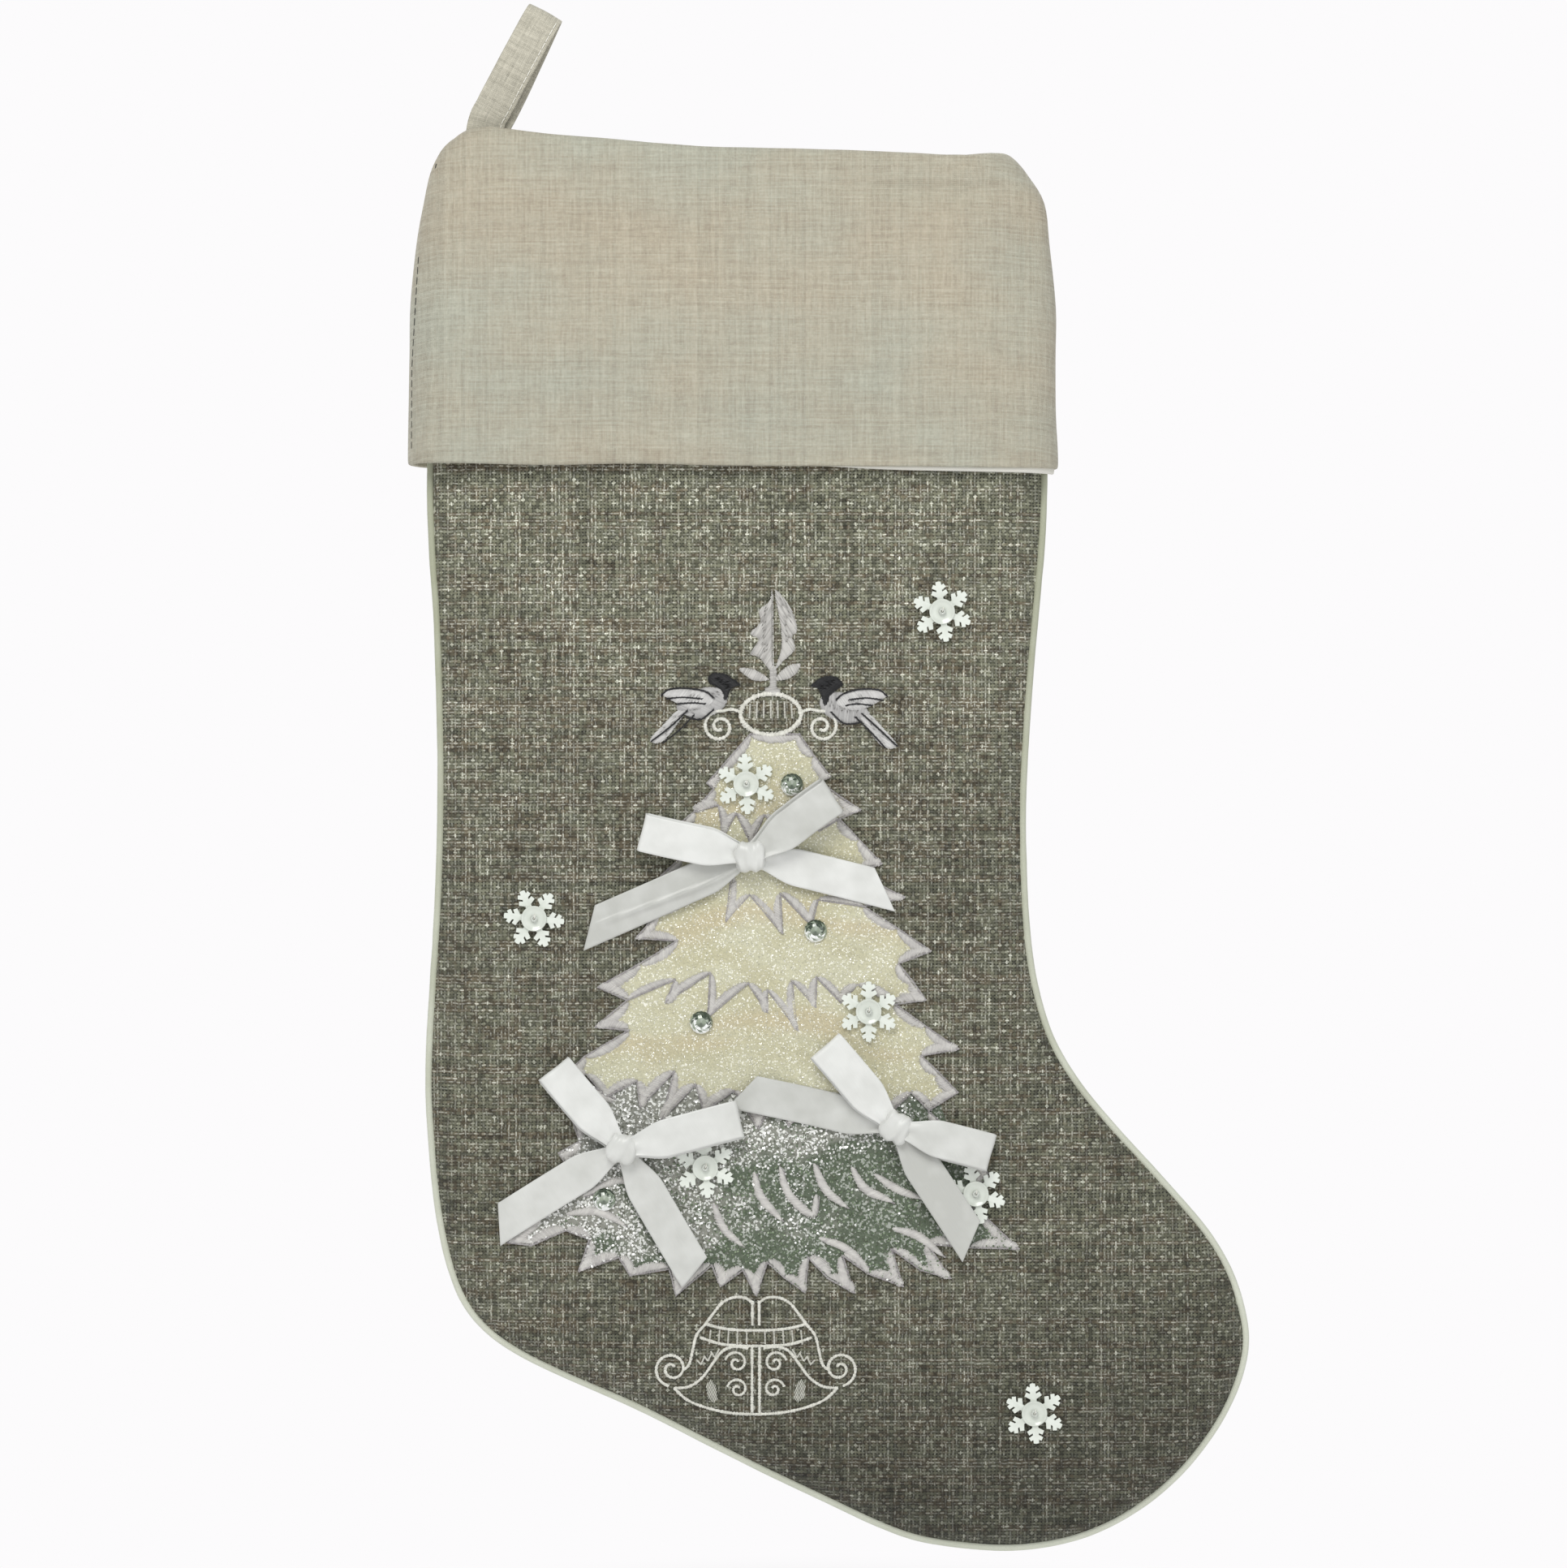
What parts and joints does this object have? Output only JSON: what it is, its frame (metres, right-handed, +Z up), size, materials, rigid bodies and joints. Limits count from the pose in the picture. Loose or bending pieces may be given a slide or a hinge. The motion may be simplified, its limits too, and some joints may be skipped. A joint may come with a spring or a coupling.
{
  "type": "hanging stocking",
  "caption": "Hanging fabric stocking with a folded cuff, hanging loop, corded edge, appliqued tree, ribbon bows, sequins and rhinestones.",
  "frame": {"origin": "inner top of the hanging loop, where the hook or nail bears", "axes": "+Z up, along the leg; -Y towards the decorated front; +X towards the toe"},
  "size_m": [0.2711, 0.0339, 0.4996],
  "materials": {
    "loop_ribbon": "plain-woven linen ribbon",
    "pale_thread": "polyester sewing thread",
    "dark_cloth": "slubbed cross weave with silver metallic yarns",
    "back_cloth": "linen-like slubbed weave",
    "lining_cloth": "plain thin lining",
    "backing": "non-woven cut-away backing",
    "piping_cloth": "smooth sateen over cord",
    "cuff_linen": "linen-like slubbed plain weave",
    "dark_thread": "matte thread",
    "snow_applique": "felted cloth with fine clear glitter",
    "glitter_applique": "coarse silver and green glitter",
    "satin_thread": "satin stitch in rayon thread",
    "bird_thread": "satin stitch in rayon thread",
    "sequin": "translucent pearl sequin",
    "seed_bead": "clear seed bead",
    "rhinestone": "faceted, foil backed",
    "satin_ribbon": "white satin ribbon"
  },
  "bodies": {
    "hanger": {"hanging_loop": "loop_ribbon", "loop_topstitch": "pale_thread"},
    "stocking": {"loop_tab": "loop_ribbon", "loop_bartack": "pale_thread", "front_panel": "dark_cloth", "back_panel": "back_cloth", "front_lining": "lining_cloth", "back_lining": "lining_cloth", "embroidery_backing": "backing", "edge_piping": "piping_cloth", "cuff": "cuff_linen", "cuff_facing": "lining_cloth", "cuff_side_stitching": "dark_thread", "tree_applique_cream": "snow_applique", "tree_applique_glitter": "glitter_applique", "tree_edge_embroidery": "satin_thread", "leaf_finial_embroidery": "satin_thread", "urn_embroidery": "satin_thread", "stand_embroidery": "satin_thread", "bird_left": "bird_thread", "bird_right": "bird_thread", "bird_black_thread": "dark_thread", "snowflake_beads": "seed_bead", "snowflake_threads": "pale_thread", "rhinestones": "rhinestone", "bow_tack_threads": "pale_thread"},
    "snowflake_1": {"snowflake_1": "sequin"},
    "snowflake_2": {"snowflake_2": "sequin"},
    "snowflake_3": {"snowflake_3": "sequin"},
    "snowflake_4": {"snowflake_4": "sequin"},
    "snowflake_5": {"snowflake_5": "sequin"},
    "snowflake_6": {"snowflake_6": "sequin"},
    "snowflake_7": {"snowflake_7": "sequin"},
    "bow_top": {"bow_top": "satin_ribbon"},
    "bow_left": {"bow_left": "satin_ribbon"},
    "bow_right": {"bow_right": "satin_ribbon"}
  },
  "joints": [
    {"name": "loop_swing", "type": "hinge", "parent": "hanger", "child": "stocking", "pos_m": [-0.01699, 0, -0.03117], "axis": [0.878, 0, -0.4787], "range_deg": [-75, 75]},
    {"name": "snowflake_1_spin", "type": "hinge", "parent": "stocking", "child": "snowflake_1", "pos_m": [0.1281, -0.0109, -0.1926], "axis": [0, -1, 0], "continuous": true},
    {"name": "snowflake_2_spin", "type": "hinge", "parent": "stocking", "child": "snowflake_2", "pos_m": [-0.0029, -0.0109, -0.2911], "axis": [0, -1, 0], "continuous": true},
    {"name": "snowflake_3_spin", "type": "hinge", "parent": "stocking", "child": "snowflake_3", "pos_m": [0.0652, -0.012, -0.2479], "axis": [0, -1, 0], "continuous": true},
    {"name": "snowflake_4_spin", "type": "hinge", "parent": "stocking", "child": "snowflake_4", "pos_m": [0.1045, -0.012, -0.3209], "axis": [0, -1, 0], "continuous": true},
    {"name": "snowflake_5_spin", "type": "hinge", "parent": "stocking", "child": "snowflake_5", "pos_m": [0.0521, -0.012, -0.371], "axis": [0, -1, 0], "continuous": true},
    {"name": "snowflake_6_spin", "type": "hinge", "parent": "stocking", "child": "snowflake_6", "pos_m": [0.1389, -0.0115, -0.3794], "axis": [0, -1, 0], "continuous": true},
    {"name": "snowflake_7_spin", "type": "hinge", "parent": "stocking", "child": "snowflake_7", "pos_m": [0.1577, -0.0109, -0.4499], "axis": [0, -1, 0], "continuous": true},
    {"name": "bow_top_turn", "type": "hinge", "parent": "stocking", "child": "bow_top", "pos_m": [0.0665, -0.015, -0.2712], "axis": [0, -1, 0], "range_deg": [-8, 8]},
    {"name": "bow_left_turn", "type": "hinge", "parent": "stocking", "child": "bow_left", "pos_m": [0.0254, -0.015, -0.3647], "axis": [0, -1, 0], "range_deg": [-8, 6]},
    {"name": "bow_right_turn", "type": "hinge", "parent": "stocking", "child": "bow_right", "pos_m": [0.1132, -0.015, -0.3579], "axis": [0, -1, 0], "range_deg": [-8, 8]}
  ]
}
